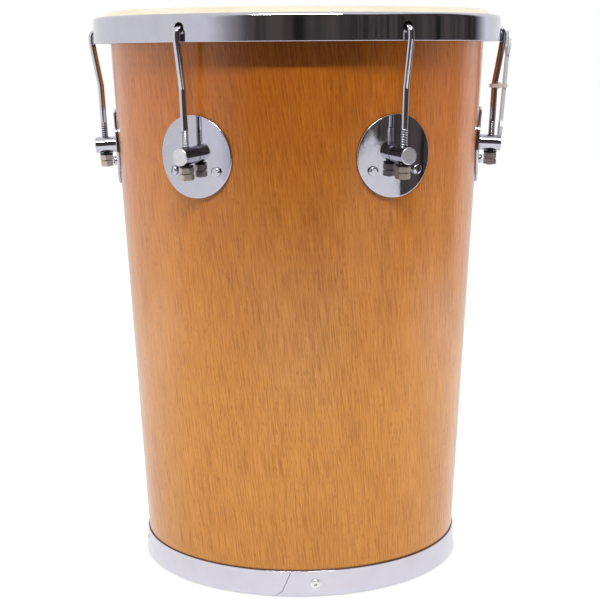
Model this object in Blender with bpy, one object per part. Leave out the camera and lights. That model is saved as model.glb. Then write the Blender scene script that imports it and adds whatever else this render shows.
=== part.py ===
"""Rebolo: a tapered wooden hand drum with one head, six hooked tension rods and an open foot.

Units are metres. +Z is up, the drum's axis is Z and its foot stands on z = 0. Angles round the drum are
measured from -Y, the front, towards +X.
"""

import math

import bmesh
import bpy
from mathutils import Matrix, Vector, geometry

for leftover in list(bpy.data.objects):
    bpy.data.objects.remove(leftover, do_unlink=True)

# Drum body
TOTAL_HEIGHT = 0.450
HEAD_DIAMETER = 0.3048
FOOT_DIAMETER = 0.2572
WALL = 0.007
BEARING_ROUND = 0.003
INNER_EDGE_BEVEL = 0.002

# Head and its tucked edge
SKIN_THICKNESS = 0.0012
CROWN_ROUND = 0.0030
COLLAR_DROP = 0.0190
COLLAR_SLOPE_DROP = 0.0048
FLESH_WIRE_DIAMETER = 0.0048

# Tension hoop
HOOP_OUTSIDE_SHELL = 0.0121
HOOP_HEIGHT = 0.0204
HOOP_BELOW_HEAD = 0.0044
HOOP_THICKNESS = 0.0015
HOOP_ROUND = 0.0030
HOOP_LIP = 0.0075
HOOP_EDGE = 0.0004
HOOP_HOLE_DIAMETER = 0.0081
HOOP_HOLE_HEIGHT = 0.0102
LIP_TO_SKIN = 0.0006

# Foot ring
RING_HEIGHT = 0.0210
RING_THICKNESS = 0.0012
RING_ROUND = 0.0015
RING_EDGE = 0.0004
SEAM_ANGLE = -5.2
SEAM_LEAN = 23.0
SEAM_GAP = 0.0005
SEAM_FLARE_HEIGHT = 0.0042
SEAM_FLARE = 58.0

# Rivets of the foot ring
RIVET_COUNT = 4
RIVET_FIRST_ANGLE = 5.0
RIVET_HEIGHT = 0.0107
RIVET_HEAD_DIAMETER = 0.0080
RIVET_HEAD_HEIGHT = 0.0013
RIVET_SHANK_DIAMETER = 0.0040
RIVET_BORE_DIAMETER = 0.0024
RIVET_TAIL_DIAMETER = 0.0056
RIVET_TAIL_LENGTH = 0.0025

# Lugs
LUG_COUNT = 6
LUG_FIRST_ANGLE = -91.0
LUG_BELOW_HEAD = 0.1062
PLATE_DROP = 0.0018
PLATE_DIAMETER = 0.0620
PLATE_THICKNESS = 0.0022
PLATE_BEVEL = 0.0006
PLATE_TRIM = 0.0030
POST_DIAMETER = 0.0130
POST_REACH = 0.0203
POST_BEVEL = 0.0005
POST_BOLT_DIAMETER = 0.0060
POST_WASHER_DIAMETER = 0.0180
POST_WASHER_THICKNESS = 0.0015
POST_HEAD_FLATS = 0.0100
POST_HEAD_HEIGHT = 0.0040

# Plate screws
SCREW_SIDE = 0.0190
SCREW_DROP = 0.0105
SCREW_HEAD_DIAMETER = 0.0075
SCREW_HEAD_HEIGHT = 0.0025
SCREW_SHANK_DIAMETER = 0.0035
SCREW_BACKING = 0.0020

# Tension rods
ROD_DIAMETER = 0.0052
THREAD_DIAMETER = 0.0058
ROD_STANDOFF = 0.0123
ROD_TAIL = 0.0188
THREAD_ABOVE_POST = 0.0185
JOG_START_SHARE = 0.55
JOG_END_ABOVE_FOOT = 0.0018
ROD_TO_HOOP = 0.0010
JOG_BEND = 0.0120
HOOK_BEND = 0.0045
HOOK_INSIDE_BAND = 0.0038

# Nuts and washers on the rods
NUT_FLATS = 0.0098
NUT_HEIGHT = 0.0045
NUT_TURN = 30.0
LOCK_TURN = 7.0
WASHER_DIAMETER = 0.0108
WASHER_THICKNESS = 0.0012

# Wrench strapped to one rod
WRENCH_LUG = 3
WRENCH_LENGTH = 0.0880
WRENCH_THICKNESS = 0.0024
WRENCH_HANDLE_WIDTH = 0.0090
WRENCH_HEAD_DIAMETER = 0.0220
WRENCH_TAIL_DIAMETER = 0.0150
WRENCH_TAIL_OPENING = 0.0070
WRENCH_JAW_ROOM = 0.0004
WRENCH_FOOT_INSET = 0.0022
WRENCH_ROD_ROOM = 0.0005

# Strap that holds the wrench
TIE_SHARE = 0.523
TIE_WIDTH = 0.0030
TIE_THICKNESS = 0.0011
TIE_LOCK_WIDTH = 0.0052
TIE_LOCK_DEPTH = 0.0038
TIE_LOCK_LENGTH = 0.0046

# Clearances
SEAT_GAP = 0.0003
HOLE_ROOM = 0.0003
ROD_ROOM = 0.0004
THREAD_ROOM = 0.00035

# Facets
ROUND_STEPS = 60
PLATE_STEPS = 28
POST_STEPS = 14
RIVET_STEPS = 10
SMALL_STEPS = 12
SCREW_STEPS = 8
TIE_STEPS = 14
SHARP_ANGLE = math.radians(35)

STEP_ANGLE = 360.0 / ROUND_STEPS
SHELL_TOP = TOTAL_HEIGHT - SKIN_THICKNESS - SEAT_GAP
SHELL_FOOT = RING_THICKNESS + SEAT_GAP
TAPER = math.atan((HEAD_DIAMETER - FOOT_DIAMETER) / 2 / (SHELL_TOP - SHELL_FOOT))
HOOP_RADIUS = HEAD_DIAMETER / 2 + HOOP_OUTSIDE_SHELL
HOOP_TOP = TOTAL_HEIGHT - HOOP_BELOW_HEAD
HOOP_FOOT = HOOP_TOP - HOOP_HEIGHT
HOOP_HOLE_Z = HOOP_FOOT + HOOP_HOLE_HEIGHT
LIP_RADIUS = HOOP_RADIUS - HOOP_LIP
COLLAR_RADIUS = LIP_RADIUS - LIP_TO_SKIN
LUG_HEIGHT = TOTAL_HEIGHT - LUG_BELOW_HEAD
PLATE_HEIGHT = LUG_HEIGHT - PLATE_DROP
PLATE_FACE = SEAT_GAP + PLATE_THICKNESS
BOLT_HOLE_DIAMETER = POST_BOLT_DIAMETER + 2 * HOLE_ROOM
SCREW_HOLE_DIAMETER = SCREW_SHANK_DIAMETER + 2 * HOLE_ROOM
RIVET_HOLE_DIAMETER = RIVET_SHANK_DIAMETER + 2 * HOLE_ROOM
ROD_HOLE_DIAMETER = THREAD_DIAMETER + 2 * ROD_ROOM
NUT_BORE_DIAMETER = THREAD_DIAMETER + 2 * THREAD_ROOM
LUG_ANGLES = [LUG_FIRST_ANGLE + 360.0 / LUG_COUNT * i for i in range(LUG_COUNT)]
RIVET_ANGLES = [RIVET_FIRST_ANGLE + 360.0 / RIVET_COUNT * i for i in range(RIVET_COUNT)]
POST_TOP = LUG_HEIGHT + POST_DIAMETER / 2
JOG_START = POST_TOP + (HOOP_FOOT - POST_TOP) * JOG_START_SHARE
JOG_END = HOOP_FOOT + JOG_END_ABOVE_FOOT
TIE_HEIGHT = POST_TOP + (HOOP_FOOT - POST_TOP) * TIE_SHARE


def wall_radius(z):
    """Outer radius of the shell at a height."""
    return HEAD_DIAMETER / 2 - (SHELL_TOP - z) * math.tan(TAPER)


def off_wall(z, distance):
    """Radius, at a height, of the surface that lies this far out from the shell's face, square to it."""
    return wall_radius(z) + distance / math.cos(TAPER)


def polar(angle, radius, z):
    """Point at an angle in degrees from the front."""
    turn = math.radians(angle)
    return Vector((radius * math.sin(turn), -radius * math.cos(turn), z))


def wall_frame(angle, z, distance=0.0):
    """Frame on the shell's face: X along the circumference, Y up the wall, Z square out of it."""
    turn = math.radians(angle)
    out = Vector((math.sin(turn), -math.cos(turn), 0))
    up = Vector((0, 0, 1))
    across = Vector((math.cos(turn), math.sin(turn), 0))
    rise = out * math.sin(TAPER) + up * math.cos(TAPER)
    normal = out * math.cos(TAPER) - up * math.sin(TAPER)
    origin = polar(angle, wall_radius(z), z) + normal * distance
    return Matrix((
        (across.x, rise.x, normal.x, origin.x),
        (across.y, rise.y, normal.y, origin.y),
        (across.z, rise.z, normal.z, origin.z),
        (0, 0, 0, 1),
    ))


def fillet(points, rounds, steps):
    """Open path in a plane with its inner corners rounded; rounds gives one radius for each inner corner."""
    path = [Vector(points[0])]
    for before, corner, after, radius in zip(points, points[1:], points[2:], rounds):
        corner = Vector(corner)
        back = (Vector(before) - corner).normalized()
        ahead = (Vector(after) - corner).normalized()
        half = back.angle(ahead) / 2
        centre = corner + (back + ahead).normalized() * radius / math.sin(half)
        first = corner + back * radius / math.tan(half)
        last = corner + ahead * radius / math.tan(half)
        sweep = (first - centre).angle_signed(last - centre)
        for i in range(steps + 1):
            turned = (first - centre).copy()
            turned.rotate(Matrix.Rotation(-sweep * i / steps, 2))
            path.append(centre + turned)
    path.append(Vector(points[-1]))
    return path


def offset(points, distance):
    """Open path moved to its left by a distance, with mitred corners."""
    points = [Vector(p) for p in points]
    moved = []
    for i, point in enumerate(points):
        sides = []
        if i > 0:
            sides.append((point - points[i - 1]).normalized())
        if i < len(points) - 1:
            sides.append((points[i + 1] - point).normalized())
        normals = [Vector((-side.y, side.x)) for side in sides]
        mitre = sum(normals, Vector((0, 0))).normalized()
        moved.append(point + mitre * distance / mitre.dot(normals[0]))
    return moved


def sheet(path, rounds, steps, thickness, edge=0.0):
    """Closed section of bent sheet: the path is its outer face, its metal lies to the left of it."""
    outer = fillet(path, rounds, steps)
    inner = offset(path, thickness)
    section = outer + inner[::-1]
    if edge:
        along = (outer[1] - outer[0]).normalized()
        across = (inner[0] - outer[0]).normalized()
        section[0] = outer[0] + along * edge
        section.append(outer[0] + across * edge)
    return section


def mesh_of(name, bm):
    """Mesh from a closed bmesh, facing out."""
    bmesh.ops.recalc_face_normals(bm, faces=bm.faces)
    mesh = bpy.data.meshes.new(name)
    bm.to_mesh(mesh)
    bm.free()
    return mesh


def revolve(section, steps, start=0.0, closed=True, degrees=360.0):
    """Solid turned about Z from a section of (radius, height) points.

    An open section begins and ends on the axis. Less than a full turn is closed by flat ends.
    """
    bm = bmesh.new()
    spin_axis = Vector((0, 0, 1))
    corners = [bm.verts.new(polar(start, p[0], p[1])) for p in section]
    pairs = list(zip(corners, corners[1:]))
    if closed:
        pairs.append((corners[-1], corners[0]))
    edges = [bm.edges.new(pair) for pair in pairs]
    whole = degrees >= 360.0
    if not whole:
        bm.faces.new(corners)
    spun = bmesh.ops.spin(
        bm,
        geom=corners + edges,
        cent=(0, 0, 0),
        axis=spin_axis,
        angle=math.radians(degrees),
        steps=steps,
        use_merge=whole,
        use_duplicate=False,
    )
    if not whole:
        last = [item for item in spun["geom_last"] if isinstance(item, bmesh.types.BMVert)]
        bm.faces.new(last)
    bmesh.ops.remove_doubles(bm, verts=bm.verts, dist=1e-7)
    return mesh_of("turned", bm)


def prism(outline, low, high):
    """Solid from a flat outline in X and Y, raised from low to high along Z."""
    bm = bmesh.new()
    base = bm.faces.new([bm.verts.new((p[0], p[1], low)) for p in outline])
    raised = bmesh.ops.extrude_face_region(bm, geom=[base])
    top = [item for item in raised["geom"] if isinstance(item, bmesh.types.BMVert)]
    bmesh.ops.translate(bm, verts=top, vec=(0, 0, high - low))
    return mesh_of("prism", bm)


def polygon(sides, radius, around=False, first=0.0):
    """Regular outline; around puts its flats, not its corners, at the radius."""
    reach = radius / math.cos(math.pi / sides) if around else radius
    return [
        (
            reach * math.cos(first + 2 * math.pi * i / sides),
            reach * math.sin(first + 2 * math.pi * i / sides),
        )
        for i in range(sides)
    ]


def hexagon(flats, first=0.0):
    return polygon(6, flats / 2, around=True, first=first)


def hole(diameter, low, high, sides=SMALL_STEPS):
    """Cutter for a round hole along Z, with its flats at the hole's radius."""
    return prism(polygon(sides, diameter / 2, around=True, first=math.pi / sides), low, high)


def placed(mesh, matrix):
    """Copy of a mesh, moved."""
    copy = mesh.copy()
    copy.transform(matrix)
    return copy


def joined(meshes):
    """One mesh from several that don't meet, for use as a cutter."""
    bm = bmesh.new()
    for mesh in meshes:
        bm.from_mesh(mesh)
    whole = bpy.data.meshes.new("joined")
    bm.to_mesh(whole)
    bm.free()
    return whole


def combined(first, second, operation):
    """Exact Boolean of two meshes, as a new mesh."""
    base = bpy.data.objects.new("blank", first)
    tool = bpy.data.objects.new("tool", second)
    for item in (base, tool):
        bpy.context.scene.collection.objects.link(item)
    modifier = base.modifiers.new("shape", "BOOLEAN")
    modifier.operation = operation
    modifier.solver = "EXACT"
    modifier.object = tool
    graph = bpy.context.evaluated_depsgraph_get()
    graph.update()
    result = bpy.data.meshes.new_from_object(base.evaluated_get(graph))
    bpy.data.objects.remove(base)
    bpy.data.objects.remove(tool)
    return result


def material(name, colour, roughness, metallic):
    surface = bpy.data.materials.new(name)
    surface.use_nodes = True
    shader = surface.node_tree.nodes["Principled BSDF"]
    shader.inputs["Base Color"].default_value = (*colour, 1)
    shader.inputs["Roughness"].default_value = roughness
    shader.inputs["Metallic"].default_value = metallic
    surface.diffuse_color = (*colour, 1)
    return surface


WOOD = material("honey_wood", (0.56, 0.27, 0.085), 0.38, 0.0)
CHROME = material("chrome_plate", (0.78, 0.78, 0.80), 0.08, 1.0)
SKIN = material("cream_skin", (0.86, 0.80, 0.64), 0.55, 0.0)
ZINC = material("dull_zinc", (0.42, 0.38, 0.31), 0.42, 1.0)
BLACK = material("black_washer", (0.03, 0.03, 0.03), 0.5, 0.0)
WRENCH_STEEL = material("pale_steel", (0.66, 0.70, 0.72), 0.35, 1.0)
NYLON = material("white_nylon", (0.85, 0.80, 0.78), 0.45, 0.0)


def add(name, data, surface, matrix=None, parent=None):
    """Named object with its own material, placed in the world."""
    data.materials.clear()
    data.materials.append(surface)
    if isinstance(data, bpy.types.Mesh):
        data.shade_smooth()
        data.set_sharp_from_angle(angle=SHARP_ANGLE)
    thing = bpy.data.objects.new(name, data)
    bpy.context.scene.collection.objects.link(thing)
    thing.parent = parent
    if matrix is not None:
        thing.matrix_local = matrix
    return thing


def cut(target, mesh, name):
    """Boolean difference by a wire cutter that stays in the file."""
    cutter = bpy.data.objects.new(name, mesh)
    bpy.context.scene.collection.objects.link(cutter)
    cutter.hide_render = True
    cutter.display_type = "WIRE"
    modifier = target.modifiers.new(name, "BOOLEAN")
    modifier.operation = "DIFFERENCE"
    modifier.solver = "EXACT"
    modifier.object = cutter
    return cutter


# The big turned pieces share their facets, so that each lug faces the middle of a flat.
ROUND_START = LUG_FIRST_ANGLE + STEP_ANGLE / 2


def screw_frame(angle, side):
    """Frame of a plate screw on the shell's face; side is -1 or 1."""
    swing = math.degrees(math.asin(SCREW_SIDE / off_wall(PLATE_HEIGHT, PLATE_FACE)))
    return wall_frame(angle + side * swing, PLATE_HEIGHT - SCREW_DROP * math.cos(TAPER))


def bolt_seat():
    """Depth behind the shell's face at which a flat washer meets the hollow of the wall."""
    inner = wall_radius(LUG_HEIGHT) - WALL
    washer = POST_WASHER_DIAMETER / 2
    hollow = inner - math.sqrt(inner**2 - washer**2)
    facet = inner * (1 - math.cos(math.radians(STEP_ANGLE / 2)))
    return WALL + hollow + facet + SEAT_GAP


def build_shell():
    """Tapered wall with a rounded bearing edge and the holes for bolts, screws and rivets."""
    outer_foot = (wall_radius(SHELL_FOOT), SHELL_FOOT)
    outer_top = (wall_radius(SHELL_TOP), SHELL_TOP)
    inner_top = (off_wall(SHELL_TOP, -WALL), SHELL_TOP)
    inner_foot = (off_wall(SHELL_FOOT, -WALL), SHELL_FOOT)
    edge = fillet([outer_foot, outer_top, inner_top], [BEARING_ROUND], 2)
    bevel_in = Vector((INNER_EDGE_BEVEL, 0))
    bevel_down = Vector((-INNER_EDGE_BEVEL * math.tan(TAPER), -INNER_EDGE_BEVEL))
    section = edge[:-1] + [edge[-1] + bevel_in, edge[-1] + bevel_down, Vector(inner_foot)]
    shell = add("shell", revolve(section, ROUND_STEPS, ROUND_START), WOOD)

    tools = []
    through = WALL + INNER_EDGE_BEVEL
    bolt = hole(BOLT_HOLE_DIAMETER, -through, INNER_EDGE_BEVEL)
    screw = hole(SCREW_HOLE_DIAMETER, SCREW_BACKING - WALL, INNER_EDGE_BEVEL, SCREW_STEPS)
    rivet = hole(RIVET_HOLE_DIAMETER, -through, INNER_EDGE_BEVEL, RIVET_STEPS)
    for angle in LUG_ANGLES:
        tools.append(placed(bolt, wall_frame(angle, LUG_HEIGHT)))
        tools.append(placed(screw, screw_frame(angle, -1)))
        tools.append(placed(screw, screw_frame(angle, 1)))
    for angle in RIVET_ANGLES:
        tools.append(placed(rivet, wall_frame(angle, RIVET_HEIGHT)))
    cut(shell, joined(tools), "shell_holes")
    return shell


def build_ring():
    """Strip of sheet round the foot, its lower edge turned in under the wall, with a slanted, flaring seam."""
    off = SEAT_GAP + RING_THICKNESS
    path = [
        (off_wall(RING_HEIGHT, off), RING_HEIGHT),
        (off_wall(0, off), 0),
        (off_wall(0, -WALL), 0),
    ]
    section = sheet(path, [RING_ROUND], 2, -RING_THICKNESS, RING_EDGE)
    ring = add("bottom_ring", revolve(section, ROUND_STEPS, ROUND_START), CHROME)

    rivet = hole(RIVET_HOLE_DIAMETER, -WALL / 2, 2 * off, RIVET_STEPS)
    holes = [placed(rivet, wall_frame(angle, RIVET_HEIGHT)) for angle in RIVET_ANGLES]
    lean = math.tan(math.radians(SEAM_LEAN))
    flare = math.tan(math.radians(SEAM_FLARE))
    knee = SEAM_FLARE_HEIGHT - RING_HEIGHT / 2
    line = [
        Vector((RING_HEIGHT * lean, RING_HEIGHT)),
        Vector((knee * lean, knee)),
        Vector((knee * lean - SEAM_FLARE_HEIGHT * 2 * flare, knee - SEAM_FLARE_HEIGHT * 2)),
    ]
    slit = offset(line, SEAM_GAP / 2) + offset(line, -SEAM_GAP / 2)[::-1]
    seam = placed(prism(slit, -2 * WALL, 2 * off), wall_frame(SEAM_ANGLE, RING_HEIGHT / 2))
    cut(ring, joined(holes + [seam]), "ring_holes")
    return ring


def build_rivets():
    """Blind rivets: a low domed head with an open bore, the shank, and the tail swelled inside the wall."""
    bore = RIVET_BORE_DIAMETER / 2
    head = RIVET_HEAD_DIAMETER / 2
    shank = RIVET_SHANK_DIAMETER / 2
    tail = RIVET_TAIL_DIAMETER / 2
    base = 2 * SEAT_GAP + RING_THICKNESS
    top = base + RIVET_HEAD_HEIGHT
    back = -(WALL + 2 * SEAT_GAP)
    end = back - RIVET_TAIL_LENGTH
    section = [
        (0, base),
        (bore, base),
        (bore, top),
        (head * 0.7, top - RIVET_HEAD_HEIGHT * 0.25),
        (head, base + RIVET_HEAD_HEIGHT * 0.25),
        (head, base),
        (shank, base),
        (shank, back),
        (tail, back - RIVET_TAIL_LENGTH * 0.4),
        (shank * 0.6, end),
        (0, end),
    ]
    mesh = revolve(section, RIVET_STEPS, closed=False)
    for i, angle in enumerate(RIVET_ANGLES):
        add(f"ring_rivet_{i + 1}", mesh, CHROME, wall_frame(angle, RIVET_HEIGHT))


def build_hoop():
    """Tension hoop: a rolled band, its top turned in over the skin, with a hole for each hook."""
    path = [(HOOP_RADIUS, HOOP_FOOT), (HOOP_RADIUS, HOOP_TOP), (LIP_RADIUS, HOOP_TOP)]
    section = sheet(path, [HOOP_ROUND], 2, HOOP_THICKNESS, HOOP_EDGE)
    hoop = add("hoop", revolve(section, ROUND_STEPS, ROUND_START), CHROME)
    punch = hole(HOOP_HOLE_DIAMETER, -HOOP_LIP, HOOP_LIP)
    holes = []
    for angle in LUG_ANGLES:
        turn = Matrix.Rotation(math.radians(angle), 4, "Z") @ Matrix.Rotation(math.pi / 2, 4, "X")
        holes.append(placed(punch, Matrix.Translation(polar(angle, HOOP_RADIUS, HOOP_HOLE_Z)) @ turn))
    cut(hoop, joined(holes), "hoop_holes")
    return hoop


def build_head():
    """Skin stretched over the bearing edge and drawn down inside the hoop's lip."""
    shoulder = TOTAL_HEIGHT - COLLAR_SLOPE_DROP
    path = [
        (0, TOTAL_HEIGHT),
        (wall_radius(SHELL_TOP), TOTAL_HEIGHT),
        (COLLAR_RADIUS, shoulder),
        (COLLAR_RADIUS, TOTAL_HEIGHT - COLLAR_DROP),
    ]
    outer = fillet(path, [CROWN_ROUND, CROWN_ROUND / 2], 2)
    inner = offset(path, -SKIN_THICKNESS)
    mesh = revolve(outer + inner[::-1], ROUND_STEPS, ROUND_START, closed=False)
    return add("drumhead", mesh, SKIN)


def build_flesh_hoop():
    """Round ring that the edge of the skin is lapped on, under the hoop's lip."""
    wire = FLESH_WIRE_DIAMETER / 2
    centre = Vector((COLLAR_RADIUS + SEAT_GAP + wire, HOOP_TOP - HOOP_THICKNESS - SEAT_GAP - wire))
    section = [centre + Vector(p) for p in polygon(6, wire)]
    return add("flesh_hoop", revolve(section, ROUND_STEPS, ROUND_START), ZINC)


def plate_mesh():
    """Round plate bent to the shell: a piece of a sleeve round it, stamped out by a round die."""
    reach = PLATE_DIAMETER / 2
    half_steps = math.ceil(math.degrees(reach / wall_radius(PLATE_HEIGHT)) / STEP_ANGLE + 0.5)
    low = PLATE_HEIGHT - reach - PLATE_TRIM
    high = PLATE_HEIGHT + reach + PLATE_TRIM
    section = [
        (off_wall(low, SEAT_GAP), low),
        (off_wall(low, PLATE_FACE), low),
        (off_wall(high, PLATE_FACE), high),
        (off_wall(high, SEAT_GAP), high),
    ]
    steps = 2 * half_steps - 1
    sleeve = revolve(section, steps, -steps * STEP_ANGLE / 2, degrees=steps * STEP_ANGLE)
    home = wall_frame(0, PLATE_HEIGHT).inverted()
    die = prism(polygon(PLATE_STEPS, reach), -reach, reach)
    blank = combined(placed(sleeve, home), die, "INTERSECT")

    bm = bmesh.new()
    bm.from_mesh(blank)
    bm.normal_update()
    rim = []
    for edge in bm.edges:
        if len(edge.link_faces) == 2:
            facing = sorted(face.normal.z for face in edge.link_faces)
            if abs(facing[0]) < 0.3 and facing[1] > 0.7:
                rim.append(edge)
    bmesh.ops.bevel(bm, geom=rim, offset=PLATE_BEVEL, segments=1, profile=0.5, affect="EDGES")
    bevelled = bpy.data.meshes.new("plate")
    bm.to_mesh(bevelled)
    bm.free()

    deep = PLATE_FACE + PLATE_THICKNESS
    tools = [placed(hole(BOLT_HOLE_DIAMETER, -deep, deep), home @ wall_frame(0, LUG_HEIGHT))]
    screw = hole(SCREW_HOLE_DIAMETER, -deep, deep, SCREW_STEPS)
    for side in (-1, 1):
        tools.append(placed(screw, home @ screw_frame(0, side)))
    return combined(bevelled, joined(tools), "DIFFERENCE")


def post_mesh():
    """Cross-drilled bar, with the bolt, washer and hexagon head that hold it from inside the shell."""
    bar = POST_DIAMETER / 2
    bolt = POST_BOLT_DIAMETER / 2
    washer = POST_WASHER_DIAMETER / 2
    base = PLATE_FACE + SEAT_GAP
    seat = -bolt_seat()
    back = seat - POST_WASHER_THICKNESS
    body = revolve(
        [
            (0, POST_REACH),
            (bar - POST_BEVEL, POST_REACH),
            (bar, POST_REACH - POST_BEVEL),
            (bar, base),
            (bolt, base),
            (bolt, seat),
            (washer, seat),
            (washer, back),
            (0, back),
        ],
        POST_STEPS,
        closed=False,
    )
    head = prism(hexagon(POST_HEAD_FLATS), back - POST_HEAD_HEIGHT, seat - POST_WASHER_THICKNESS / 2)
    whole = combined(body, head, "UNION")
    drill = hole(ROD_HOLE_DIAMETER, -POST_DIAMETER, POST_DIAMETER)
    lie = Matrix.Translation((0, 0, ROD_STANDOFF)) @ Matrix.Rotation(-math.pi / 2, 4, "X")
    return combined(whole, placed(drill, lie), "DIFFERENCE")


def screw_mesh():
    """Pan-head screw of a plate."""
    base = PLATE_FACE + SEAT_GAP
    head = SCREW_HEAD_DIAMETER / 2
    shank = SCREW_SHANK_DIAMETER / 2
    tip = SCREW_BACKING + SEAT_GAP - WALL
    section = [
        (0, base + SCREW_HEAD_HEIGHT),
        (head * 0.72, base + SCREW_HEAD_HEIGHT),
        (head, base + SCREW_HEAD_HEIGHT * 0.55),
        (head, base),
        (shank, base),
        (shank, tip),
        (0, tip),
    ]
    return revolve(section, SCREW_STEPS, closed=False)


def rod_line(z):
    """Radius of the rods' straight lower part at a height: it runs up beside the wall."""
    return wall_radius(z) + ROD_STANDOFF / math.cos(TAPER)


def rod_path():
    """Centre line of a rod in the plane of its lug, as (radius, height) points."""
    radius = ROD_DIAMETER / 2
    straight = HOOP_RADIUS + ROD_TO_HOOP + radius
    tail = LUG_HEIGHT - ROD_TAIL
    hook = HOOP_HOLE_Z - HOOP_HOLE_DIAMETER / 2 + SEAT_GAP + radius
    inside = HOOP_RADIUS - HOOP_THICKNESS - HOOK_INSIDE_BAND
    return [
        (rod_line(tail), tail),
        (rod_line(JOG_START), JOG_START),
        (straight, JOG_END),
        (straight, hook),
        (inside, hook),
    ]


def rod_curve():
    """Round bar along the rod's path, thicker where it is threaded, in the frame of the rod's axis."""
    corners = rod_path()
    rise = Vector((math.sin(TAPER), math.cos(TAPER)))
    normal = Vector((math.cos(TAPER), -math.sin(TAPER)))
    home = Vector((wall_radius(LUG_HEIGHT), LUG_HEIGHT)) + normal * ROD_STANDOFF
    path = fillet(corners[:3] + [corners[3]], [JOG_BEND, JOG_BEND], 2)[:-1]
    path += fillet([path[-1]] + [Vector(p) for p in corners[3:]], [HOOK_BEND], 4)[1:]
    local = [((p - home).dot(rise), (p - home).dot(normal)) for p in path]

    full = THREAD_DIAMETER / ROD_DIAMETER
    step = THREAD_DIAMETER - ROD_DIAMETER
    foot = local[0][0]
    shaft = [(foot, 0.86 * full), (foot + step, full)]
    shaft += [(THREAD_ABOVE_POST - step, full), (THREAD_ABOVE_POST, 1.0)]
    points = [(0, up, 0, thick) for up, thick in shaft]
    points += [(0, up, out, 1.0) for up, out in local[1:]]

    curve = bpy.data.curves.new("rod", "CURVE")
    curve.dimensions = "3D"
    curve.bevel_depth = ROD_DIAMETER / 2
    curve.bevel_resolution = 2
    curve.use_fill_caps = True
    spline = curve.splines.new("POLY")
    spline.points.add(len(points) - 1)
    for point, (x, y, z, thick) in zip(spline.points, points):
        point.co = (x, y, z, 1)
        point.radius = thick
    return curve


def rod_centre(z):
    """Radius of a rod's centre line at any height up to its hook."""
    for (radius, low), (next_radius, high) in zip(rod_path(), rod_path()[1:]):
        if z <= high:
            break
    return radius + (next_radius - radius) * (z - low) / (high - low)


def nut_mesh(low):
    """Hexagon nut about the rod's axis, its lower face at this height."""
    blank = prism(hexagon(NUT_FLATS, math.pi / 6), low, low + NUT_HEIGHT)
    bore = hole(NUT_BORE_DIAMETER, low - NUT_HEIGHT, low + 2 * NUT_HEIGHT)
    return combined(blank, bore, "DIFFERENCE")


def washer_mesh(low):
    """Flat washer about the rod's axis."""
    inner = NUT_BORE_DIAMETER / 2 / math.cos(math.pi / SMALL_STEPS)
    outer = WASHER_DIAMETER / 2
    high = low + WASHER_THICKNESS
    return revolve([(inner, low), (outer, low), (outer, high), (inner, high)], SMALL_STEPS)


def build_lugs():
    """Plate, post, screws, rod, washer and nuts of each lug."""
    plate = plate_mesh()
    post = post_mesh()
    screw = screw_mesh()
    rod = rod_curve()
    washer_low = -POST_DIAMETER / 2 - SEAT_GAP - WASHER_THICKNESS
    nut_low = washer_low - SEAT_GAP - NUT_HEIGHT
    lock_low = nut_low - SEAT_GAP - NUT_HEIGHT
    washer = washer_mesh(washer_low)
    nut = nut_mesh(nut_low)
    lock = nut_mesh(lock_low)
    upright = Matrix.Rotation(-math.pi / 2, 4, "X")
    for i, angle in enumerate(LUG_ANGLES):
        number = i + 1
        on_rod = wall_frame(angle, LUG_HEIGHT, ROD_STANDOFF)
        nut_turn = Matrix.Rotation(math.radians(NUT_TURN * (number % 3)), 4, "Z")
        lock_turn = Matrix.Rotation(math.radians((NUT_TURN + LOCK_TURN) * (number % 3)), 4, "Z")
        add(f"lug_plate_{number}", plate, CHROME, wall_frame(angle, PLATE_HEIGHT))
        add(f"lug_post_{number}", post, CHROME, wall_frame(angle, LUG_HEIGHT))
        add(f"plate_screw_{number}a", screw, CHROME, screw_frame(angle, -1))
        add(f"plate_screw_{number}b", screw, CHROME, screw_frame(angle, 1))
        add(f"tension_rod_{number}", rod, CHROME, on_rod)
        add(f"rod_washer_{number}", washer, BLACK, on_rod @ upright)
        add(f"tuning_nut_{number}", nut, ZINC, on_rod @ upright @ nut_turn)
        add(f"lock_nut_{number}", lock, ZINC, on_rod @ upright @ lock_turn)


def wrench_lean():
    """Inner face of the wrench, as (radius, height) points: on the post, and where it leans on the rod.

    The prongs of its foot straddle the top of the post.
    """
    foot = off_wall(LUG_HEIGHT, POST_REACH) - WRENCH_FOOT_INSET
    axis = LUG_HEIGHT - (foot - wall_radius(LUG_HEIGHT)) * math.tan(TAPER)
    prong = WRENCH_TAIL_OPENING / 2
    tail = WRENCH_TAIL_DIAMETER / 2
    crown = math.sqrt((POST_DIAMETER / 2) ** 2 - prong**2) + SEAT_GAP
    tip = tail - math.sqrt(tail**2 - prong**2)
    low = Vector((foot, axis + crown - tip))
    high = Vector((HOOP_RADIUS + ROD_TO_HOOP + ROD_DIAMETER + WRENCH_ROD_ROOM, JOG_END))
    return low, high


def wrench_outline():
    """Double open-ended wrench, its length along Y from its lower end, seen square to its flat."""
    handle = WRENCH_HANDLE_WIDTH / 2
    head = WRENCH_HEAD_DIAMETER / 2
    tail = WRENCH_TAIL_DIAMETER / 2
    jaw = NUT_FLATS / 2 + WRENCH_JAW_ROOM
    small = WRENCH_TAIL_OPENING / 2
    right = []
    for centre, radius, opening, way in ((tail, tail, small, -1), (WRENCH_LENGTH - head, head, jaw, 1)):
        first = math.asin(opening / radius)
        last = math.pi - math.asin(handle / radius)
        arc = []
        for i in range(7):
            turn = first + (last - first) * i / 6
            arc.append((radius * math.sin(turn), centre + way * radius * math.cos(turn)))
        throat = centre - way * opening * 0.35
        mouth = [(opening * 0.55, throat - way * opening * 0.45), (opening, throat)]
        side = mouth + arc
        right += side if way < 0 else side[::-1]
    left = [(-x, y) for x, y in right[::-1]]
    return right + left


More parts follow.
